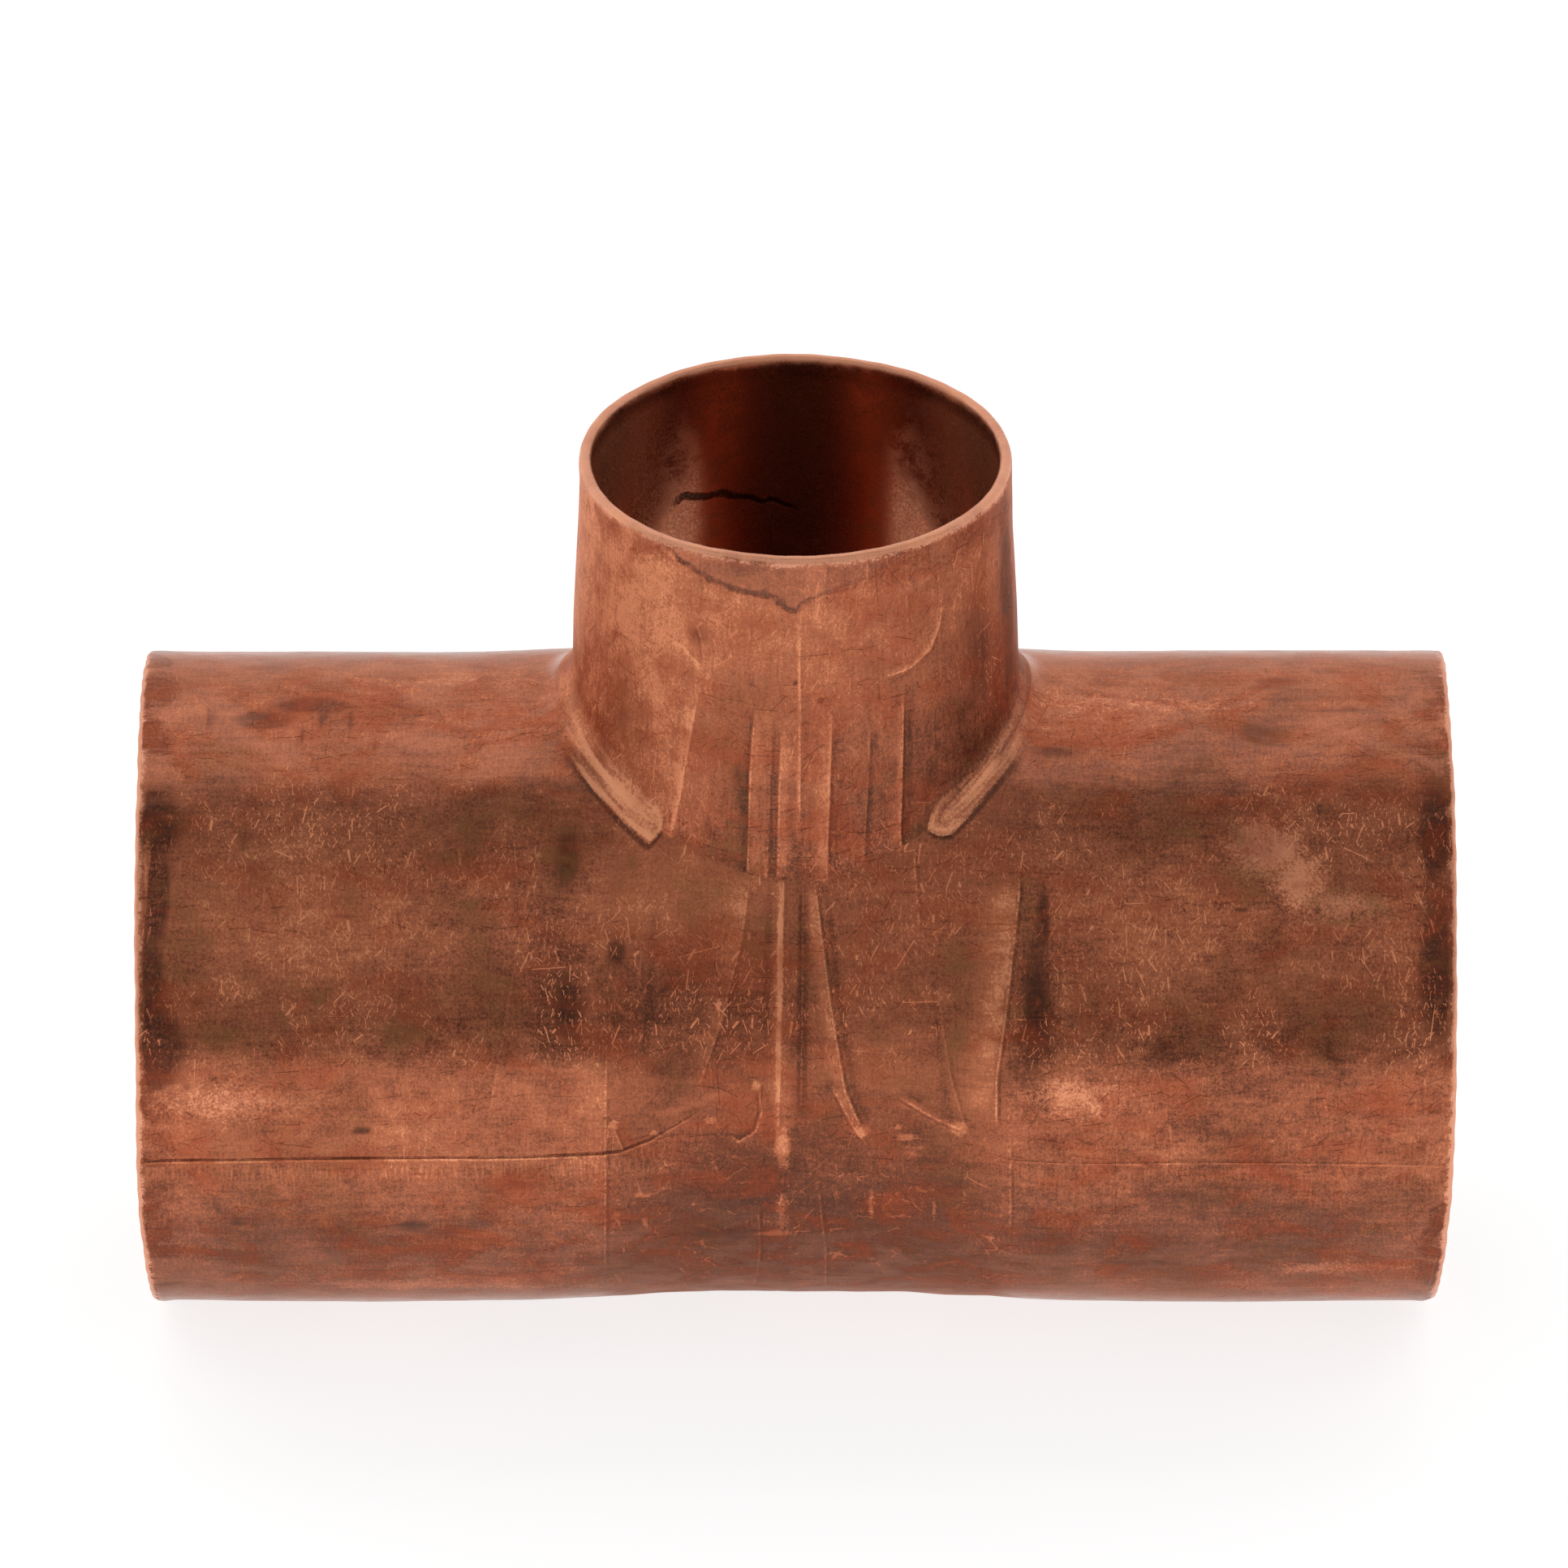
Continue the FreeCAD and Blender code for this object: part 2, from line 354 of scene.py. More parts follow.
RUN_PINKS = [
    (40.3, 53, 3, 2.3, 1.1), (43, 47, 2.2, 2.3, 1), (46.8, 42.7, 3, 1.1, 0.9),
    (-49, 8, 5, 1.6, 0.7), (24, 9, 4.5, 1.6, 0.7), (30, 86, 8, 1.2, 0.6),
    (-30, -40, 12, 1.5, 0.6), (46, -33, 5, 1.2, 0.6),
]
RUN_BARES = [
    (-56, 50, 0.8, 4.2, 1), (-56.2, 27, 0.5, 1.6, 1), (56.4, 39, 0.7, 3, 0.9),
    (5.6, 0.9, 0.8, 0.7, 1), (9.7, -0.3, 1.3, 0.35, 0.9), (14, 2, 0.9, 0.8, 1),
    (8.8, 1.8, 0.35, 0.35, 1), (-15.6, 2.8, 0.5, 0.5, 1), (-12.1, 1, 0.35, 0.3, 1.1),
    (-1.1, -3, 0.8, 3.2, 0.8), (-1.2, -17, 0.9, 4, 0.7), (-3.4, 9.8, 0.4, 0.5, 1.1),
    (-2.1, -23.4, 2.2, 0.25, 0.9), (9, -19, 2, 0.25, 0.9), (12, -17, 0.3, 1.8, 0.8),
    (6.5, -15, 0.35, 2.4, 0.8), (-7.4, 3, 0.9, 0.6, 0.7), (-13.6, 33.6, 0.16, 0.5, 1.2),
    (-6.6, 24.3, 0.22, 0.8, 1.1), (-4, 36.4, 0.2, 0.5, 1), (20.9, 43.5, 0.3, 0.8, 1.1),
    (-1.3, 33, 0.28, 5.5, 1), (-1.45, 15, 0.28, 4.5, 0.9), (-20, 8, 3, 2.2, 0.35),
]
# Stains on the branch, as (turn, z, half width, half height in mm, strength).
BRANCH_STAINS = [
    (6.5, 38.2, 0.3, 0.3, 1.2), (0, 40, 0.25, 0.25, 1.1), (-50, 35, 1.2, 5.5, 0.5),
    (-26, 43.4, 1.5, 1.4, 0.7), (56, 39, 3, 6.5, 0.6), (74, 42, 2.5, 9, 0.8), (-57, 28, 1.6, 3, 0.6),
    (-15, 31, 1, 2.5, 0.5), (22, 41, 2.5, 1.5, 0.5), (31, 21.6, 0.9, 0.7, 0.9),
]


def along(points, path):
    """Signed distance of 2-D points to the right of a polyline, and how far along it each lies, 0 to 1."""
    path = np.asarray(path, float)
    lengths = np.linalg.norm(np.diff(path, axis=0), axis=1)
    nearest = np.full(len(points), np.inf)
    side, place = np.zeros(len(points)), np.zeros(len(points))
    done = 0.0
    for start, end, length in zip(path[:-1], path[1:], lengths):
        way = (end - start) / length
        rel = points - start
        t = np.clip(rel @ way, 0, length)
        distance = np.linalg.norm(rel - t[:, None] * way, axis=1)
        is_right = way[1] * rel[:, 0] > way[0] * rel[:, 1]
        closer = distance < nearest
        nearest[closer] = distance[closer]
        side[closer] = np.where(is_right, distance, -distance)[closer]
        place[closer] = ((done + t) / lengths.sum())[closer]
        done += length
    return side, place


def strokes(points, marks, scale, end_fade):
    """The height of all the marks at points in mm; scale turns their paths' numbers into mm.

    Also the distance across the nearest mark, positive on its steeper side, and how strongly that mark shows.
    """
    height, shows = np.zeros(len(points)), np.zeros(len(points))
    nearest, across = np.full(len(points), FAR), np.full(len(points), FAR)
    for path, rise, left, right in marks:
        side, place = along(points, np.multiply(path, scale))
        ends = smooth(place / 0.06) * smooth((1 - place) / end_fade)
        height += rise * ends * np.exp(-(side / np.where(side < 0, left, right)) ** 2)
        closer = np.abs(side) < nearest
        nearest[closer] = np.abs(side)[closer]
        across[closer] = (side if right <= left else -side)[closer]
        strength = ends * min(abs(rise) / 0.14, 1.2) * fade(np.abs(side), 1, 0.6)
        shows[closer] = strength[closer]
    return height, across, shows


def parting_line(points):
    """A sharp groove with a raised edge below it: its height, distance below it in mm, and how it shows."""
    height, shows = np.zeros(len(points)), np.zeros(len(points))
    across = np.full(len(points), FAR)
    for path, strength in PARTING:
        side, place = along(points, np.multiply(path, RUN_SCALE))
        below = side * np.sign(path[-1][0] - path[0][0])
        ends = strength * smooth((1 - place) / 0.16)
        edge = 0.08 * np.exp(-((below - 0.2) / 0.22) ** 2)
        groove = 0.1 * np.exp(-((below + 0.1) / 0.15) ** 2)
        height += ends * (edge - groove)
        closer = np.abs(below) < np.abs(across)
        across[closer] = below[closer]
        shows[closer] = ends[closer]
    return height, across, shows * fade(np.abs(across), 3, 1.8)


def strips(points, table, scale):
    """How much the strips show."""
    shows = np.zeros(len(points))
    for path, left, right, strength in table:
        side, place = along(points, np.multiply(path, scale))
        reach = np.where(side < 0, left, right)
        ends = smooth(place / 0.15) * smooth((1 - place) / 0.25)
        shows = np.maximum(shows, strength * ends * fade(np.abs(side), reach, 0.15 * reach))
    return shows


def distances(points, table, scale):
    """For each entry of a table of spots, how far away it is, 1 at its half sizes, and its strength."""
    for u, v, half_u, half_v, strength in table:
        away = np.hypot((points[:, 0] - u * scale[0]) / half_u, (points[:, 1] - v * scale[1]) / half_v)
        yield away, strength


def shades(points, table, scale):
    """The sum of broad places with soft edges."""
    return sum(strength * fade(away, 1.7, 0.3) for away, strength in distances(points, table, scale))


def spots(points, table, scale):
    """A field that is each spot's strength at its middle and dies away outside it."""
    fields = [strength * np.exp(-0.7 * away ** 2) for away, strength in distances(points, table, scale)]
    return np.max(fields, axis=0)


def skin_marks(p):
    """The relief over the smooth form, in mm, and the fields that the copper's finish follows."""
    branch_side = np.clip(run_gap(p) - branch_gap(p), -2, 2)
    on_branch = fade(branch_side, -0.4, 0.4)
    is_wall = on_branch > 0.5
    front = p[:, 1] < 0
    front_share = np.where(front, 1, 0.6)
    on_run = (1 - on_branch) * front_share
    x = np.where(front, p[:, 0], -p[:, 0])
    run_points = np.column_stack([x, lean_of(p) * DEGREE_RUN])
    wall_points = np.column_stack([turn_of(p) * DEGREE_BRANCH, p[:, 2]])

    def run_field(measure, table):
        return on_run * measure(run_points, table, RUN_SCALE)

    def wall_field(measure, table):
        return on_branch * measure(wall_points, table, BRANCH_SCALE)

    run_height, run_across, run_shows = strokes(run_points, RUN_MARKS, RUN_SCALE, 0.14)
    wall_height, wall_across, wall_shows = strokes(wall_points, BRANCH_MARKS, BRANCH_SCALE, 0.3)
    seam_height, seam_across, seam_shows = parting_line(run_points)
    marked = on_run * run_height + on_branch * wall_height
    above_rim_stain = along(wall_points, np.multiply(RIM_STAIN, BRANCH_SCALE))[0]

    uneven = 0.05 * waves(p, 22, 3) + 0.02 * waves(p, 9, 4) + 0.007 * waves(p, 3.2, 5)
    band_depth = np.clip(np.minimum(run_gap(p), branch_gap(p)) - crotch_gap(p), -1, 2)
    middle = fade(np.abs(p[:, 0] - 1), 19, 15.5) * (1 - on_branch)
    beaten = middle * (0.03 * waves(p, 5, 7) + 0.01 * waves(p, 2.2, 8))
    return {
        "height": marked + seam_height + uneven + beaten - 0.05,
        "worn": np.clip(np.maximum(marked, 0) / 0.16, 0, 1.2),
        "line_across": np.where(is_wall, wall_across, run_across),
        "line_shows": np.where(is_wall, wall_shows, run_shows * front_share),
        "seam_across": seam_across,
        "seam_shows": seam_shows * (1 - on_branch),
        "band_depth": band_depth * band_share(p) - (1 - band_share(p)),
        "branch_side": branch_side,
        "middle": middle,
        "strip": run_field(strips, RUN_STRIPS) + front * wall_field(strips, BRANCH_STRIPS),
        "dark_strip": run_field(strips, RUN_DARK_STRIPS) + front * wall_field(strips, BRANCH_DARK_STRIPS),
        "rim_stain": np.where(is_wall, -above_rim_stain, -FAR),
        "shade": run_field(shades, RUN_SHADES),
        "stain": run_field(spots, RUN_STAINS) + wall_field(spots, BRANCH_STAINS),
        "pink": run_field(spots, RUN_PINKS),
        "bare": run_field(spots, RUN_BARES),
    }


# ---- laying out the skin

def graded(start, stop, gap_at):
    """Points from start to stop, an even number of steps, whose gaps follow gap_at(place)."""
    fine = np.linspace(start, stop, 6001)
    density = 1 / gap_at(fine)
    steps = np.concatenate([[0], np.cumsum((density[1:] + density[:-1]) / 2 * np.abs(np.diff(fine)))])
    count = 2 * max(1, round(steps[-1] / 2))
    return np.interp(np.linspace(0, steps[-1], count + 1), steps, fine)


def near_gap(place, lines, gap, reach):
    """gap, brought down to FINE_GAP at each of the lines."""
    away = np.min([np.abs(place - line) for line in lines], axis=0)
    return FINE_GAP + (gap - FINE_GAP) * smooth(away / reach)


class Skin:
    """Collects points and faces. Every method that adds points returns their numbers."""

    def __init__(self):
        self.points = []
        self.faces = []
        self.count = 0

    def add(self, p):
        self.points.append(p)
        self.count += len(p)
        return np.arange(self.count - len(p), self.count)

    def strip(self, a, b):
        """Four-sided faces between two closed rings of equal length."""
        self.faces += zip(a, np.roll(a, -1), np.roll(b, -1), b)

    def halve(self, a, b):
        """Faces between a closed ring and one with half as many points."""
        left, mid, right = a[0::2], a[1::2], np.roll(a[0::2], -1)
        after = np.roll(b, -1)
        self.faces += zip(left, mid, b)
        self.faces += zip(mid, after, b)
        self.faces += zip(mid, right, after)

    def ring(self, previous, p):
        """Adds a ring of points and joins it to the ring before."""
        numbers = self.add(p)
        if len(numbers) == len(previous):
            self.strip(previous, numbers)
        else:
            self.halve(previous, numbers)
        return numbers

    def sheet(self, grid, hole_rows, hole_columns):
        """Faces of a grid that is closed round its columns, with a rectangular hole."""
        right = np.roll(grid, -1, axis=1)
        corners = np.stack([grid[:-1], grid[1:], right[1:], right[:-1]], axis=2)
        solid = np.ones(corners.shape[:2], bool)
        solid[hole_rows[0]:hole_rows[1], hole_columns[0]:hole_columns[1]] = False
        self.faces += [tuple(face) for face in corners[solid]]


def on_barrel(x, angle, radius, lift=0):
    """Points round the run. angle goes over the top, from straight up towards the back."""
    x = np.broadcast_to(x, angle.shape)
    return np.column_stack([x, radius * np.sin(angle), lift + radius * np.cos(angle)])


def on_waisted_barrel(x, angle):
    """Points on the run's outside."""
    w = waist(x)
    return on_barrel(x, angle, RUN_R - WAIST_IN * w, WAIST_LIFT * w)


def on_post(azimuth, radius, z):
    """Points round the branch."""
    z = np.broadcast_to(z, azimuth.shape)
    return np.column_stack([radius * np.cos(azimuth), radius * np.sin(azimuth), z])


def window_edge(grid, xs, angles, rows, columns):
    """The place along the run, angle and number of each point round a window in a grid.

    They go counter-clockwise from above, starting at the window's front left corner.
    """
    r0, r1 = rows
    c0, c1 = columns
    edge = [(i, c0) for i in range(r0, r1)] + [(r1, j) for j in range(c0, c1)]
    edge += [(i, c1) for i in range(r1, r0, -1)] + [(r0, j) for j in range(c1, c0, -1)]
    i, j = np.array(edge).T
    return xs[i], angles[j], grid[i, j]


def edge_azimuths(across, over):
    """The azimuth on the branch that each place round the window runs to, a quarter turn for each side."""
    across = (across - across[0]) / (across[-1] - across[0])
    over = (over - over[0]) / (over[-1] - over[0])
    quarters = np.concatenate([across[:-1], 1 + over[:-1], 2 + across[:-1], 3 + over[:-1]])
    return math.pi / 2 * (quarters - 1.5)


def lip(round_back, wall, bevel):
    """Outline of a cut end, as (depth in from the skin, distance back from the end)."""
    outer = [math.pi / 2 * i / 5 for i in range(1, 6)]
    inner = [math.pi / 2 * i / 3 for i in range(4)]
    land = wall - bevel
    outline = [(LIP_IN * (1 - math.cos(a)), round_back * (1 - math.sin(a))) for a in outer]
    outline.append(((LIP_IN + land) / 2, 0))
    return outline + [(land + bevel * math.sin(a), bevel * (1 - math.cos(a))) for a in inner]


def angles_round_run():
    """The angles that the run is divided at, and how many of them are over the top, beside the window."""
    around = 2 * math.pi * RUN_R
    seams = (PARTING_ANGLE * RUN_R, around - PARTING_ANGLE * RUN_R)
    window = WINDOW_ANGLE * RUN_R

    def gap_at(s):
        from_back = fade(s, 0.45 * around, 0.575 * around)
        return near_gap(s, seams, BACK_GAP + (FRONT_GAP - BACK_GAP) * from_back, 2)

    over = graded(-window, window, lambda s: np.full_like(s, MIDDLE_GAP)) / RUN_R
    under = graded(window, around - window, gap_at) / RUN_R
    return np.concatenate([over, under[1:-1]]), len(over)


def places_along_run():
    """The places that the run is divided at, closest together at its ends, and the rows of the window."""
    def gap_at(x):
        return MIDDLE_GAP + (FRONT_GAP - MIDDLE_GAP) * fade(np.abs(x), 14, 20)

    across = graded(-WINDOW_X, WINDOW_X, gap_at)
    arm = graded(WINDOW_X, HALF_LENGTH - 1, lambda x: near_gap(x, (HALF_LENGTH,), FRONT_GAP, 3))
    rows = (len(arm) - 1, len(arm) + len(across) - 2)
    return np.concatenate([-arm[::-1], across[1:-1], arm]), rows


def lay_out_branch(skin, edge, azimuth):
    """From the run's window in to the crotch, then up the branch's wall."""
    edge_x, edge_a, ring = edge
    crotch_r = branch_radius(CROTCH_Z)
    crotch_x = crotch_r * np.cos(azimuth)
    crotch_a = np.arcsin(crotch_r * np.sin(azimuth) / RUN_R)
    crotch_z = WAIST_LIFT + (RUN_R - WAIST_IN) * np.cos(crotch_a)
    for t in graded(0, 1, lambda t: 0.065 - 0.035 * fade(t, 0.3, 0.9))[1:]:
        x = edge_x + (crotch_x - edge_x) * t
        ring = skin.ring(ring, on_waisted_barrel(x, edge_a + (crotch_a - edge_a) * t))
    for t in graded(0, 1, lambda t: 0.014 + 0.014 * fade(t, 0, 0.25) - 0.018 * fade(t, 0.85, 1))[1:]:
        z = crotch_z + (WALL_TOP - crotch_z) * t
        ring = skin.ring(ring, on_post(azimuth, branch_radius(z), z))
    return ring


def lay_out_branch_inside(skin, ring, azimuth):
    """The branch's lip and socket, then its shoulder and bore, which are divided half as finely."""
    tip_r = branch_radius(WALL_TOP)
    for depth, back in lip(RIM_LIP_BACK, tip_r - BRANCH_SOCKET_R, BRANCH_MOUTH_BEVEL):
        ring = skin.ring(ring, on_post(azimuth, tip_r - depth, BRANCH_TOP - back))
    mouth = BRANCH_TOP - BRANCH_MOUTH_BEVEL
    for z in graded(mouth, BRANCH_STOP_Z, lambda z: 0.6 + 1.1 * fade(z, 50, 38))[1:]:
        ring = skin.ring(ring, on_post(azimuth, BRANCH_SOCKET_R, z))
    azimuth = azimuth[::2]
    bore_top = BRANCH_STOP_Z - BRANCH_SHOULDER
    bore_foot = BORE_LIFT + RUN_BORE_R * np.cos(bore_angle(azimuth))
    for t in (0, 0.4, 0.8, 1):
        ring = skin.ring(ring, on_post(azimuth, BRANCH_BORE_R, bore_top + (bore_foot - bore_top) * t))
    return ring


def bore_angle(azimuth):
    """The angle round the run at which the branch's bore meets the run's."""
    return np.arcsin(BRANCH_BORE_R * np.sin(azimuth) / RUN_BORE_R)


def lay_out_run_bore(skin, across, angles, columns, azimuth, branch_ring):
    """The run's bore and its shoulders, with a window that is closed up to the branch's bore."""
    slope = np.linspace(RUN_STOP_X, RUN_STOP_X - RUN_SHOULDER, 3)
    slope_r = np.linspace(RUN_SOCKET_R, RUN_BORE_R, 3)
    middle = across * BORE_SHARE
    xs = np.concatenate([-slope, middle, slope[::-1]])
    radii = np.concatenate([slope_r, np.full(len(middle), RUN_BORE_R), slope_r[::-1]])
    rows = (len(slope), len(slope) + len(middle) - 1)
    bore = np.array([
        skin.add(on_barrel(x, angles, r, BORE_LIFT * fade(r, RUN_SOCKET_R, RUN_BORE_R)))
        for x, r in zip(xs, radii)
    ])
    skin.sheet(bore, rows, columns)
    edge_x, edge_a, ring = window_edge(bore, xs, angles, rows, columns)
    for t in (0.25, 0.5, 0.75):
        x = edge_x + (BRANCH_BORE_R * np.cos(azimuth) - edge_x) * t
        a = edge_a + (bore_angle(azimuth) - edge_a) * t
        ring = skin.ring(ring, on_barrel(x, a, RUN_BORE_R, BORE_LIFT))
    skin.strip(ring, branch_ring)
    return bore


def lay_out_run_end(skin, side, ring, bore_ring, angles, lip_extra):
    """One end of the run: its lip, then its socket in to the bore's shoulder."""
    share = RUN_LIP_SHARE + lip_extra * underside(angles)
    for depth, back in lip(RUN_LIP_BACK, RUN_R - RUN_SOCKET_R, RUN_MOUTH_BEVEL):
        back = back * share if depth < LIP_IN + 1e-6 else back
        ring = skin.ring(ring, on_barrel(side * (HALF_LENGTH - back), angles, RUN_R - depth))
    for back in (0.9, 1.8, 3.2):
        ring = skin.ring(ring, on_barrel(side * (HALF_LENGTH - back), angles, RUN_SOCKET_R))
    for x in np.linspace(HALF_LENGTH - 6, RUN_STOP_X + 3, 7):
        ring = skin.ring(ring, on_barrel(side * x, angles[::2], RUN_SOCKET_R))
    skin.strip(ring, bore_ring)


def lay_out_skin():
    """The whole skin before shaping, and how many of its points are on the outside, which come first."""
    skin = Skin()
    angles, over_count = angles_round_run()
    xs, rows = places_along_run()
    columns = (0, over_count - 1)
    across = xs[rows[0]:rows[1] + 1]
    azimuth = edge_azimuths(across, angles[:over_count])

    grid_x, grid_a = (g.ravel() for g in np.meshgrid(xs, angles, indexing="ij"))
    grid = skin.add(on_waisted_barrel(grid_x, grid_a)).reshape(len(xs), -1)
    skin.sheet(grid, rows, columns)
    ring = lay_out_branch(skin, window_edge(grid, xs, angles, rows, columns), azimuth)
    outside = skin.count

    ring = lay_out_branch_inside(skin, ring, azimuth)
    half_columns = (0, columns[1] // 2)
    bore = lay_out_run_bore(skin, across[::2], angles[::2], half_columns, azimuth[::2], ring)
    lay_out_run_end(skin, -1, grid[0], bore[0], angles, LEFT_LIP_EXTRA)
    lay_out_run_end(skin, 1, grid[-1], bore[-1], angles, RIGHT_LIP_EXTRA)
    return skin, outside


# ---- shaping it

def underside(angle):
    """1 on the underside of the run, 0 on its upper half."""
    return fade(np.cos(angle), -0.1, -0.9)


def run_end_fall(side, angle):
    """How far each end of the run falls short of full length: the cut isn't quite square or even."""
    uneven = 0.05 * np.sin(3 * angle + side) + 0.03 * np.sin(7 * angle + 2 * side)
    ragged = 0.03 * np.sin(23 * angle + 5 * side) * np.sin(4 * angle) + 0.03 * np.sin(61 * angle + side)
    return 0.03 + uneven + ragged + (0.75 if side > 0 else 0.55) * underside(angle)


def rim_fall(azimuth):
    """How far the branch's rim falls short of its full height."""
    uneven = 0.04 * np.sin(2 * azimuth + 0.6) + 0.03 * np.sin(5 * azimuth + 2)
    ragged = 0.02 * np.sin(11 * azimuth) + 0.015 * np.sin(37 * azimuth)
    return 0.02 + uneven + ragged - 0.2 * fade(np.sin(azimuth), -0.9, 0.5)


def cut_ends(p):
    """The three ends as they were cut, a little out of true."""
    angle = np.arctan2(p[:, 1], p[:, 2])
    for side in (-1, 1):
        near = fade(side * p[:, 0], HALF_LENGTH - 4, HALF_LENGTH - 0.5)
        p[:, 0] -= side * near * run_end_fall(side, angle)
    near = fade(p[:, 2], BRANCH_TOP - 4, BRANCH_TOP - 0.5)
    p[:, 2] -= near * rim_fall(np.arctan2(p[:, 1], p[:, 0]))
    return p


def wants_finer(centre):
    """Where the front's marks need a finer mesh: the branch's front, and the run below it."""
    x, y, z = centre
    return y < -10 and abs(x) < 20 and z > -2 and not (abs(x) > 12 and z > 32) and z < 42


def refined(skin, outside):
    """The laid-out mesh with its marked front divided once more."""
    bm = bmesh.new()
    is_outside = bm.verts.layers.float.new("outside")
    verts = [bm.verts.new(p) for p in np.concatenate(skin.points)]
    for v in verts[:outside]:
        v[is_outside] = 1.0
    for face in skin.faces:
        bm.faces.new([verts[i] for i in face])
    bmesh.ops.delete(bm, geom=[v for v in verts if not v.link_faces], context="VERTS")
    skin_faces = [f for f in bm.faces if all(v[is_outside] for v in f.verts)]
    fine = [f for f in skin_faces if wants_finer(f.calc_center_median())]
    edges = list({e for f in fine for e in f.edges})
    bmesh.ops.subdivide_edges(bm, edges=edges, cuts=1, use_grid_fill=True)
    bmesh.ops.recalc_face_normals(bm, faces=bm.faces)
    return bm, is_outside


def flow_places(p, is_branch):
    """Places over the skin in mm: along the run and over it, or round the branch and up it."""
    over = np.radians(lean_of(p)) * RUN_R
    over = np.where(p[:, 1] < 0, over, math.pi * RUN_R - over)
    turn = np.radians(turn_of(p)) * BRANCH_TIP_R
    on_run = np.column_stack([p[:, 0], over, np.zeros(len(p))])
    on_wall = np.column_stack([turn, p[:, 2] + 3, np.full(len(p), 50)])
    return np.where(is_branch[:, None], on_wall, on_run)


def drawn_places(p, is_branch):
    """Places in mm, pressed together ten times along the way that the metal was drawn."""
    return p * np.where(is_branch[:, None], (1, 1, 0.1), (0.1, 1, 1))


def cut_gap(p):
    """Distance back from the nearest cut end over the skin, 0 on the end itself, no more than FAR."""
    across_run = np.hypot(p[:, 1], p[:, 2])
    on_barrel_end = across_run > RUN_SOCKET_R - 0.05
    to_run_end = np.where(on_barrel_end, HALF_LENGTH - np.abs(p[:, 0]), FAR)
    to_rim = np.where(p[:, 2] > RUN_R + 2, BRANCH_TOP - p[:, 2], FAR)
    return np.clip(np.minimum(to_run_end, to_rim), 0, FAR)


def new_object(name, data):
    made = bpy.data.objects.new(name, data)
    bpy.context.collection.objects.link(made)
    return made


def in_branch_tube(p):
    """Whether points are within the branch's socket or bore, across."""
    return np.hypot(p[:, 0], p[:, 1]) < BRANCH_SOCKET_R + 0.01


def crack_marks(p):
    """Distance across the crack inside the branch's socket and how it shows."""
    side, place = along(p[:, [0, 2]], CRACK)
    is_far_wall = (p[:, 1] > 0) & in_branch_tube(p) & (p[:, 2] > BRANCH_STOP_Z)
    return side, is_far_wall * smooth(place / 0.05) * smooth((1 - place) / 0.1)


def shaped(p, outer):
    """The points moved onto the marked skin, and the masks that the copper's finish follows."""
    form = onto_skin(p[outer])
    normal = skin_slope(form)
    normal /= np.linalg.norm(normal, axis=1, keepdims=True)
    marks = skin_marks(form)
    from_end = fade(np.abs(form[:, 0]), HALF_LENGTH - 0.9, HALF_LENGTH - 2.5)
    from_rim = fade(form[:, 2], WALL_TOP, BRANCH_TOP - 2.5)
    p[outer] = form + normal * (marks.pop("height") * from_end * from_rim)[:, None]
    gap = cut_gap(p)
    masks = {"inside": np.where(outer, 0, fade(gap, 0.35, 1.1)), "cut_gap": gap}
    for name, values in marks.items():
        masks[name] = np.zeros(len(p))
        masks[name][outer] = values
    masks["crack_across"], masks["crack_shows"] = crack_marks(p)
    return cut_ends(p), masks


def make_tee():
    skin, outside = lay_out_skin()
    bm, is_outside = refined(skin, outside)
    outer = np.array([v[is_outside] for v in bm.verts]) > 0.99
    p, masks = shaped(np.array([v.co for v in bm.verts], float), outer)
    for v, place in zip(bm.verts, p):
        v.co = (place + (0, 0, AXIS_Z)) * MM
    mesh = bpy.data.meshes.new("tee_copper")
    bm.to_mesh(mesh)
    print("triangles", sum(len(f.verts) - 2 for f in bm.faces), "open edges",
          sum(not e.is_manifold for e in bm.edges), "volume_mm3", round(bm.calc_volume() / MM ** 3))
    bm.free()
    for name, values in masks.items():
        mesh.attributes.new(name, "FLOAT", "POINT").data.foreach_set("value", values.astype(np.float32))
    is_branch = (masks["branch_side"] > 0) | in_branch_tube(p)
    for name, places in (("flow", flow_places(p, is_branch)), ("drawn", drawn_places(p, is_branch))):
        layer = mesh.attributes.new(name, "FLOAT_VECTOR", "POINT")
        layer.data.foreach_set("vector", places.astype(np.float32).ravel())
    mesh.shade_smooth()
    mesh.set_sharp_from_angle(angle=math.radians(50))
    return new_object("tee_copper", mesh)


# ---- the copper

def arithmetic(operation, swapped=False):
    """A method of Value that adds a Math node."""
    def method(self, other=0):
        a, b = (other, self) if swapped else (self, other)
        return self.nodes.math(operation, a, b)
    return method


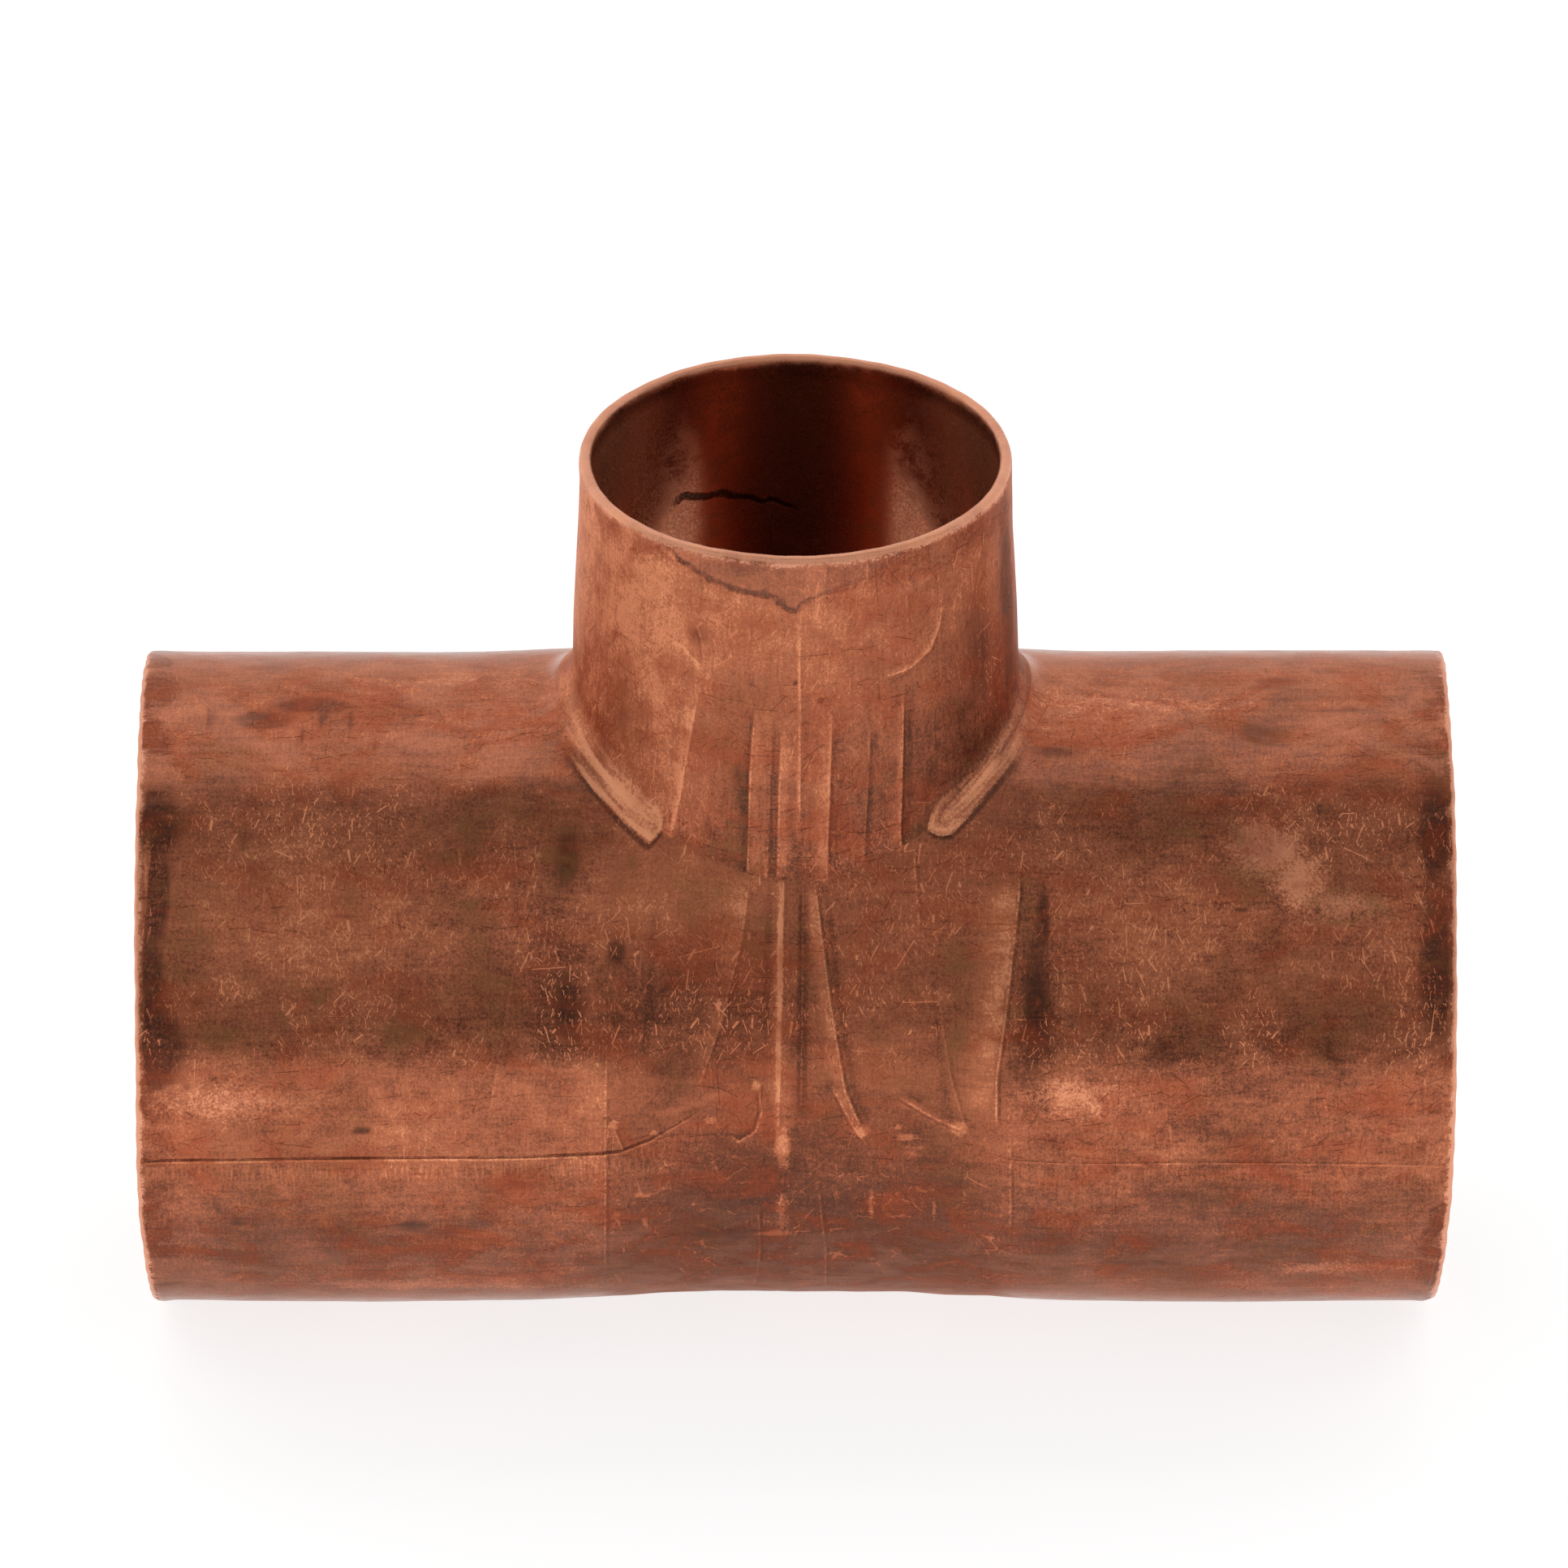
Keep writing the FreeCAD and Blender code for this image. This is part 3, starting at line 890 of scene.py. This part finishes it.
class Value:
    """A shader value. Arithmetic and the methods below add the nodes that work it out."""

    __add__ = arithmetic("ADD")
    __radd__ = arithmetic("ADD", swapped=True)
    __sub__ = arithmetic("SUBTRACT")
    __rsub__ = arithmetic("SUBTRACT", swapped=True)
    __mul__ = arithmetic("MULTIPLY")
    __abs__ = arithmetic("ABSOLUTE")
    greater = arithmetic("MAXIMUM")

    def __init__(self, nodes, socket):
        self.nodes = nodes
        self.socket = socket

    def ramp(self, start, end, low=0, high=1):
        """The value from start to end made into low to high, smoothly, and held outside."""
        inputs = dict(enumerate((self, start, end, low, high)))
        return self.nodes.add("MapRange", inputs, interpolation_type="SMOOTHSTEP")[0]

    def near(self, middle, reach):
        """1 where the value is at middle, 0 from reach away."""
        return abs(self - middle).ramp(reach, 0.3 * reach)

    def swing(self, size):
        """Noise from 0 to 1 made into about -size/2 to size/2."""
        return (self - 0.5) * size

    def colours(self, stops):
        """A colour read from stops of (position, colour)."""
        node = self.nodes.tree.nodes.new("ShaderNodeValToRGB")
        self.nodes.put(node.inputs[0], self)
        elements = node.color_ramp.elements
        elements.remove(elements[-1])
        for i, (position, colour) in enumerate(stops):
            element = elements[0] if i == 0 else elements.new(position)
            element.position = position
            element.color = colour
        return Value(self.nodes, node.outputs[0])


class Nodes:
    """Short ways to add nodes to a tree."""

    def __init__(self, tree):
        self.tree = tree

    def put(self, socket, value):
        if isinstance(value, Value):
            self.tree.links.new(value.socket, socket)
        else:
            socket.default_value = value

    def add(self, kind, inputs, **settings):
        """The outputs of a new node. inputs gives its sockets, by name or number, their values."""
        node = self.tree.nodes.new("ShaderNode" + kind)
        for name, setting in settings.items():
            setattr(node, name, setting)
        for socket, value in inputs.items():
            self.put(node.inputs[socket], value)
        return [Value(self, output) for output in node.outputs]

    def math(self, operation, a, b):
        return self.add("Math", {0: a, 1: b}, operation=operation)[0]

    def mix(self, share, a, b):
        """Colour a with a share of colour b. 6, 7 and 2 are the node's colour sockets."""
        return self.add("Mix", {0: share, 6: a, 7: b}, data_type="RGBA")[2]

    def mask(self, name):
        return self.add("Attribute", {}, attribute_name=name)[2]

    def places(self, name):
        return self.add("Attribute", {}, attribute_name=name)[1]

    def moved(self, vector, scale, offset):
        return self.add("Mapping", {"Vector": vector, "Location": offset, "Scale": scale})[0]

    def noises(self, vector, size, detail, rough, warp=0):
        """Noise of about the given size: a value from 0 to 1, and a colour."""
        inputs = {"Vector": vector, "Scale": 1 / size, "Detail": detail, "Roughness": rough}
        return self.add("TexNoise", inputs | {"Distortion": warp})

    def noise(self, *settings):
        return self.noises(*settings)[0]

    def warped(self, vector, size, reach):
        """The vector pushed about by noise of the given size, by up to about half of reach."""
        inputs = {0: self.noises(vector, size, 2, 0.5)[1], 1: (reach, reach, 0), 2: vector}
        return self.add("VectorMath", inputs, operation="MULTIPLY_ADD")[0]

    def dashes(self, vector, spacing, width, length, turn, spread, keep, seed):
        """Scattered straight scratches, 1 in the middle of each. The tables below name the numbers."""
        moved = self.moved(vector, (1, 1, 1), (seed, 3 * seed, 0))
        cell = self.add("TexVoronoi", {"Vector": moved, "Scale": 1 / spacing}, voronoi_dimensions="2D")
        away = self.add("VectorMath", {0: moved, 1: cell[2]}, operation="SUBTRACT")[0]
        turn_by, is_kept, reach = self.add("SeparateColor", {0: cell[1]})
        angle = turn_by.ramp(0, 1, math.radians(turn - spread), math.radians(turn + spread))
        turned = self.add("VectorRotate", {"Vector": away, "Angle": angle}, rotation_type="Z_AXIS")[0]
        across, along, _ = self.add("SeparateXYZ", {0: turned})
        reach = reach.ramp(0, 1, 0.15 * length, 0.6 * length)
        narrow = abs(across).ramp(0.6 * width, 0.2 * width)
        return narrow * self.math("LESS_THAN", abs(along), reach) * is_kept.ramp(keep, keep - 0.3)


# Copper from tarnished, through brown and plain, to freshly bared.
PATINA = [
    (0, (0.07, 0.027, 0.019, 1)),
    (0.26, (0.2, 0.062, 0.032, 1)),
    (0.5, (0.4, 0.121, 0.06, 1)),
    (0.74, (0.55, 0.178, 0.084, 1)),
    (1, (0.86, 0.335, 0.168, 1)),
]
RED_OXIDE = (0.38, 0.07, 0.026, 1)
PINK_OXIDE = (0.68, 0.27, 0.175, 1)
OLIVE_BROWN = (0.235, 0.105, 0.036, 1)
# Polished copper, brightened to a painted highlight on the crotch's band.
POLISHED = (1, 0.41, 0.21, 1)
BARE_PINK = (0.88, 0.43, 0.29, 1)
INSIDE_RED = (0.25, 0.055, 0.022, 1)
# A painted reflection, pale copper, for the far wall inside the branch.
WORN_INSIDE = (0.62, 0.24, 0.13, 1)
# Painted shade for the inside of the crack.
SOOT = (0.02, 0.008, 0.005, 1)
SHEEN = (0.8, 0.6, 0.52, 1)

# Scratches: spacing, width and length in mm, turn from upright and spread in degrees, share kept, seed.
BRIGHT_SCRATCHES = [
    (2.2, 0.13, 1.5, 18, 25, 0.4, 10),
    (0.5, 0.07, 0.42, 4, 30, 0.6, 1),
    (0.8, 0.08, 0.7, -14, 40, 0.5, 2),
    (1.7, 0.1, 1.3, 12, 45, 0.45, 3),
    (4.6, 0.1, 3.2, -35, 70, 0.45, 4),
    (3.1, 0.22, 1, 10, 30, 0.4, 5),
]
DARK_SCRATCHES = [
    (2.4, 0.1, 2.6, 88, 12, 0.55, 9),
    (0.9, 0.08, 0.8, 85, 40, 0.6, 6),
    (1.9, 0.09, 1.8, 60, 70, 0.6, 7),
    (3.4, 0.09, 3.2, 5, 40, 0.55, 8),
]


# Each add_ function adds noises or masks to c, the copper's Nodes, and may use those of the ones before it. A
# mask is 1 where a thing shows and 0 elsewhere.

def add_noises(c):
    c.place = c.moved(c.add("TexCoord", {})[3], (1 / MM,) * 3, (0, 0, 0))
    c.flow = c.places("flow")
    c.clouds = c.noise(c.place, 8, 3, 0.55, 0.3)
    c.blotches = c.noise(c.moved(c.place, (0.75, 1, 1), (31, 7, 3)), 1.9, 5, 0.68, 0.4)
    c.hues = c.noise(c.moved(c.place, (0.6, 1, 1), (3, 51, 8)), 4.2, 4, 0.62, 0.8)
    c.smears = c.noise(c.moved(c.flow, (0.16, 1, 1), (5, 2, 0)), 0.9, 3, 0.6, 0.3)
    c.streaks = c.noise(c.places("drawn"), 0.55, 3, 0.6)
    c.hairs = c.noise(c.moved(c.flow, (1, 0.1, 1), (9, 4, 1)), 0.2, 1, 0.5)
    c.grain = c.noise(c.place, 0.24, 2.5, 0.75)
    c.ragged = c.blotches.swing(0.5) + c.grain.swing(0.5)


def add_regions(c):
    """Inside and outside, branch and run, and the stretches that are darker or lighter as a whole: painted
    shade low down, at the branch's foot and on its right, painted light on its left.
    """
    c.inside = c.mask("inside")
    c.outdoors = 1 - c.inside
    c.middle = c.mask("middle")
    c.branch = (c.mask("branch_side") + c.ragged * 0.5).ramp(-0.08, 0.08)
    c.on_run = 1 - c.branch
    c.across, c.depth, height = c.add("SeparateXYZ", {0: c.place})
    c.above_axis = height - AXIS_Z
    c.off_centre = abs(c.across)
    # Low on the skin. The tone darkens the outside there as painted shade.
    c.low = c.above_axis.ramp(0, -16)
    c.top = c.above_axis.ramp(23, 28) * c.on_run
    # Painted shade low on the branch, darker towards its foot.
    c.foot_of_branch = c.branch * c.above_axis.ramp(47, 21)
    # Heights where the skin reflects the studio's dim front. Grain, the olive tint and bright scratches are
    # painted stronger here, as that dim reflection shows them.
    c.dim = c.above_axis.ramp(5, 11) * c.above_axis.ramp(27, 23)
    # Painted light on the branch's left side and painted shade on its right, as the light falls from the
    # left.
    c.left = c.branch * c.across.ramp(-4, -15)
    c.right = c.branch * c.across.ramp(0, 14)


def add_spots(c):
    c.stained = (c.mask("stain") + c.ragged * 1.5).ramp(0.34, 0.72)
    c.pinked = (c.mask("pink") + c.ragged * 2.2).ramp(0.16, 1.05)
    c.bared = (c.mask("bare") + c.ragged * 1.2).ramp(0.42, 0.72)
    c.stripped = c.mask("strip") * (c.streaks + c.blotches.swing(0.8)).ramp(0.25, 0.6, 0.5, 1)


def add_cut_edges(c):
    """The cut ends, their chipped edges, and the dirt beside them."""
    gap = c.mask("cut_gap") + c.ragged * 3.2 + c.hues.swing(1.6)
    c.soiled = gap.ramp(4.2, 2.2) * (c.hues + c.blotches.swing(0.6)).ramp(0.42, 0.6) * c.outdoors
    chipped = (gap + c.branch * c.hues.ramp(0.4, 0.6, 0, -0.4)).ramp(0.55, 0.15)
    cut_face = c.mask("cut_gap").ramp(0.4, 0.2)
    c.freshly_cut = chipped.greater(cut_face * c.grain.ramp(0.3, 0.46, 0.5, 1))


def add_band(c):
    """The crotch's band, rubbed along its length and lightened with painted highlights. It has a crisp lower
    edge, with a painted shadow along it, and melts into the wall above.
    """
    depth, side = c.mask("band_depth"), c.mask("branch_side")
    turn = c.math("ARCTAN2", c.across, c.depth * -1) * 4
    rubbed = c.noise(c.add("CombineXYZ", {0: turn, 1: depth * 3})[0], 1.6, 3, 0.55)
    on_crotch = c.off_centre.ramp(20.3, 17.5) * c.outdoors
    c.band = (depth + rubbed.swing(0.5) + c.grain.swing(0.2)).ramp(-0.08, 0.1) * side.ramp(2, 0.2) * on_crotch
    # Painted shadow along the band's lower edge.
    c.band_edge = depth.near(-0.08, 0.3) * side.ramp(0, -0.5) * on_crotch
    # Rubbed streaks on the band: polish, brightened as painted highlights.
    c.polished = c.band * (rubbed + c.grain.swing(0.3)).ramp(0.38, 0.68)


def add_lines(c):
    """The crest of each drawn line, worn and brightened as a painted highlight, and its foot, darkened as
    painted shade in the crease. The parting line's groove, darkened as painted shade, its raised edge,
    brightened as a painted highlight, and its combed side.
    """
    across = c.mask("line_across") + c.grain.swing(0.18)
    shows = c.mask("line_shows") * c.blotches.ramp(0.3, 0.52, 0.35, 1)
    # A paler crest along each line, worn and painted as a highlight.
    c.crest = across.near(0.02, 0.13) * shows * c.grain.ramp(0.35, 0.6, 0.2, 1)
    # A darker foot on each line's steeper side, painted shade in the crease.
    c.foot = across.near(0.26, 0.22) * shows * c.streaks.ramp(0.35, 0.6, 0.3, 1)
    across, shows = c.mask("seam_across"), c.mask("seam_shows")
    # The parting line's groove, darkened as painted shade.
    c.seam_dark = across.near(-0.06, 0.12) * shows * c.hues.ramp(0.4, 0.56, 0.3, 1)
    # Its raised edge, brightened as a painted highlight.
    c.seam_bright = across.near(0.15, 0.14) * shows * c.blotches.ramp(0.38, 0.56, 0.3, 1)
    c.combed = across.near(1.4, 1.3) * shows * c.hairs.ramp(0.48, 0.66)


def add_inside(c):
    """Inside the branch: a crack darkened as painted shade, two paler patches on the far wall that are
    painted reflections, a painted shadow under the rim, and lighter sides painted as light.
    """
    crack_across = c.mask("crack_across") + c.blotches.swing(0.6) + c.grain.swing(0.3)
    # The crack's dark line, painted shade in it.
    c.crack = crack_across.near(0, 0.42) * c.mask("crack_shows")
    # Two paler patches high on the far wall: painted reflections of the light.
    far_wall = c.inside * c.depth.ramp(9, 11)
    patches = far_wall * c.off_centre.near(9.8, 2.6)
    patches = patches * (c.above_axis + abs(c.off_centre - 9.8) * 1.4).ramp(49, 45.5)
    c.worn_inside = patches * c.above_axis.ramp(30, 34) * c.blotches.ramp(0.4, 0.58, 0.25, 1)
    # Painted shadow just below the rim, inside the socket.
    c.under_rim = c.inside * (c.mask("cut_gap") + c.blotches.swing(0.8)).ramp(2.4, 1)
    # Painted light on the side walls inside: lighter in tone and less red.
    c.inner_sides = c.inside * c.off_centre.ramp(9, 14)


def add_rim_stain(c):
    below = c.mask("rim_stain") + c.blotches.swing(1.6) + c.grain.swing(0.3)
    c.rim_stained = below.ramp(-0.1, 0.3) * c.branch
    edge = below.near(0.15, 0.45) * c.blotches.ramp(0.38, 0.58, 0.35, 1)
    c.rim_stain_edge = edge * c.across.ramp(1, 7, 1, 0.35) * c.branch


def add_crazing(c):
    """Pale cracks low on the front and back of the middle."""
    cells = c.moved(c.warped(c.flow, 1.6, 1.2), (1 / 3.4, 1 / 2.6, 1), (0.3, 0.2, 0))
    to_edge = c.add("TexVoronoi", {"Vector": cells, "Scale": 1}, feature="DISTANCE_TO_EDGE")[0]
    crazed = to_edge.ramp(0.035, 0.01) * c.blotches.ramp(0.5, 0.6) * c.middle
    c.crazed = crazed * c.above_axis.ramp(1, -3) * c.above_axis.ramp(-22, -16)


def add_scratches(c):
    # Bright scratches are wear. They are shown most where the skin reflects the studio's dim front and on the
    # branch, and their brightness there is also a painted glint.
    in_patches = (c.clouds + c.blotches.swing(0.5) + c.hues.swing(0.5)).ramp(0.42, 0.6)
    shows = in_patches * c.dim + in_patches * c.branch.ramp(0, 1, 0.25, 0.6) + 0.1
    bright, dark = (reduce(Value.greater, [c.dashes(c.flow, *row) for row in table])
                    for table in (BRIGHT_SCRATCHES, DARK_SCRATCHES))
    c.bright = bright * shows * c.outdoors
    c.dark = dark * c.outdoors * c.hues.ramp(0.4, 0.6, 0.2, 1)


def copper_tone(c):
    """How light the copper is, from 0 for tarnished to 1 for bare, with painted light and shade added in."""
    uneven = c.clouds.swing(0.6) + c.blotches.swing(0.75) + c.streaks.swing(0.35) + c.hairs.swing(0.25)
    # The grain shows stronger in the dim reflected band, painted to match that light.
    uneven = uneven + c.grain.swing(1.15) * c.dim.ramp(0, 1, 0.75, 1)
    calm = c.inside.ramp(0, 1, 1, 0.12) * c.middle.ramp(0, 1, 1, 0.72)
    smeared = c.low.greater(c.top) * c.smears.ramp(0.46, 0.7) * c.on_run * c.outdoors
    tone = (
        # Painted shade: the branch's foot and right, low on the outside, the band's lower edge, the lines'
        # feet, the seam's groove, the crack and under the rim. Painted light: the branch's left, the band and
        # its polish, the lines' crests, the seam's raised edge, the bright scratches and the inner sides.
        0.5 + uneven * calm + c.mask("shade") + c.branch * 0.18 + c.foot_of_branch * -0.3 + c.left * 0.26
        + c.right * -0.1 + c.low * c.outdoors * -0.2 + smeared * -0.06 + c.band * 0.2 + c.polished * 0.46
        + c.band_edge * -0.34 + c.rim_stained * -0.16 + c.rim_stain_edge * -0.42 + c.mask("worn") * 0.1
        + c.stained * -0.32 + c.soiled * -0.22 + c.pinked * 0.52 + c.stripped * 0.36
        + c.mask("dark_strip") * -0.26 + c.bared * 0.36 + c.crest * 0.36 + c.foot * -0.22 + c.crazed * 0.34
        + c.seam_dark * -0.3 + c.seam_bright * 0.34 + c.combed * 0.16 + c.bright * 0.74 + c.dark * -0.3
        + c.crack * -0.9 + c.under_rim * -0.45 + c.inner_sides * 0.62 + c.inside * -0.2
    )
    cut_tone = 1 + uneven * 0.7
    return tone * (1 - c.freshly_cut) + cut_tone * c.freshly_cut


def copper_colour(c):
    """The patina for the tone, then each tint over it in turn; some tints are painted reflection, highlight
    and shade.
    """
    # Olive tint, stronger in the dim reflected band, painted to match that light.
    olive = c.clouds.ramp(0.5, 0.34) * c.blotches.ramp(0.38, 0.62) * c.dim.ramp(0, 1, 0.2, 0.6)
    mauve = c.low.greater(c.top) * c.on_run * (c.hues + c.blotches.swing(0.5)).ramp(0.62, 0.34)
    tints = [
        (c.hues.ramp(0.44, 0.7) * c.outdoors * 0.5, RED_OXIDE),
        (olive * c.outdoors * c.stripped.ramp(0.4, 0), OLIVE_BROWN),
        (mauve * c.outdoors * 0.22 + c.pinked * 0.26 + c.rim_stained * 0.12, PINK_OXIDE),
        # Red oxide inside, thinned where the side walls are painted lighter.
        (c.inside * c.inner_sides.ramp(0, 0.6, 0.65, 0.15), INSIDE_RED),
        # Painted reflections on the far wall inside.
        (c.worn_inside * 0.6, WORN_INSIDE),
        # Painted shade in the crack.
        (c.crack * 0.9, SOOT),
        (c.freshly_cut * 0.5, BARE_PINK),
        # Polish with painted highlights on the band.
        (c.polished * 0.8, POLISHED),
    ]
    colour = copper_tone(c).colours(PATINA)
    for share, tint in tints:
        colour = c.mix(share, colour, tint)
    return colour


def copper_roughness(c):
    uneven = c.blotches.ramp(0.4, 0.65) * 0.07 + c.grain.swing(0.08)
    marks = 0.17 + uneven * c.outdoors + c.middle * 0.2 + c.branch * 0.28 + c.stained * 0.1 + c.bright * 0.3
    return marks + c.inside * -0.06 + c.polished * -0.14


def copper_bump(c):
    relief = (c.grain * 0.006 + c.streaks * 0.004 + c.hairs * 0.003 + c.blotches * 0.012
              + c.bright * -0.008 + c.dark * -0.012 + c.seam_dark * -0.05)
    height = relief * c.outdoors + c.crack * -0.05
    return c.add("Bump", {"Strength": 1, "Distance": MM, "Height": height})[0]


def copper_material():
    material, shader = new_material("copper")
    c = Nodes(material.node_tree)
    for add_masks in (add_noises, add_regions, add_spots, add_cut_edges, add_band, add_lines, add_inside,
                      add_rim_stain, add_crazing, add_scratches):
        add_masks(c)
    c.put(shader["Base Color"], copper_colour(c))
    c.put(shader["Metallic"], 0.8 + c.branch * -0.1 + c.band * -0.35 + c.freshly_cut * -0.2)
    c.put(shader["Roughness"], copper_roughness(c))
    c.put(shader["Specular Tint"], SHEEN)
    c.put(shader["Normal"], copper_bump(c))
    return material


def new_material(name):
    """A new material and the inputs of its shader."""
    material = bpy.data.materials.new(name)
    material.use_nodes = True
    return material, material.node_tree.nodes["Principled BSDF"].inputs


# ---- floor, light and camera

FLOOR_REACH = 6.0
FLOOR_GREY = 0.42
FLOOR_GLOW = 0.8
# The studio's light from the front horizon (0), over the top, to the back horizon (1).
STUDIO_LEVELS = [(0, 0.36), (0.1, 0.38), (0.27, 0.64), (0.42, 0.4), (0.552, 0.36), (0.576, 1), (1, 1)]
LEFT_LIGHT = 1.08
RIGHT_LIGHT = 0.9
CAMERA_LENS = 328.8
CAMERA_SENSOR = 36.0
CAMERA_RISE = math.radians(29.66)
CAMERA_DISTANCE = 1243.3
CAMERA_TARGET = (-0.98, 0, 19.3)


def make_floor():
    mesh = bpy.data.meshes.new("floor")
    r = FLOOR_REACH
    mesh.from_pydata([(-r, -r, 0), (r, -r, 0), (r, r, 0), (-r, r, 0)], [], [(0, 1, 2, 3)])
    material, shader = new_material("floor")
    shader["Base Color"].default_value = (FLOOR_GREY, FLOOR_GREY, FLOOR_GREY, 1)
    shader["Roughness"].default_value = 0.9
    shader["Specular IOR Level"].default_value = 0.1
    shader["Emission Color"].default_value = (1, 1, 1, 1)
    shader["Emission Strength"].default_value = FLOOR_GLOW
    mesh.materials.append(material)
    new_object("floor", mesh)


def make_world():
    """Soft studio light: bright behind and overhead, dimmer in front, and a little brighter from the left."""
    world = bpy.data.worlds.new("studio")
    world.use_nodes = True
    bpy.context.scene.world = world
    n = Nodes(world.node_tree)
    x, y, z = n.add("SeparateXYZ", {0: n.add("TexCoord", {})[0]})
    half_turns = n.math("DIVIDE", n.math("ARCTAN2", z, y * -1), math.pi)
    background = n.tree.nodes["Background"].inputs
    greys = [(place, (level, level, level, 1)) for place, level in STUDIO_LEVELS]
    n.put(background["Color"], half_turns.colours(greys))
    n.put(background["Strength"], x.ramp(-0.8, 0.8, LEFT_LIGHT, RIGHT_LIGHT))


def make_camera():
    data = bpy.data.cameras.new("camera")
    data.lens = CAMERA_LENS
    data.sensor_width = CAMERA_SENSOR
    camera = new_object("camera", data)
    away = Vector((0, -math.cos(CAMERA_RISE), math.sin(CAMERA_RISE)))
    x, y, z = CAMERA_TARGET
    camera.location = Vector((x * MM, y, (z + AXIS_Z) * MM)) + away * (CAMERA_DISTANCE * MM)
    camera.rotation_euler = (-away).to_track_quat("-Z", "Y").to_euler()
    bpy.context.scene.camera = camera


tee = make_tee()
tee.data.materials.append(copper_material())
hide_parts("tee_body")
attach(tee, "root")
make_floor()
make_world()
make_camera()
bpy.context.scene.view_settings.view_transform = "Standard"
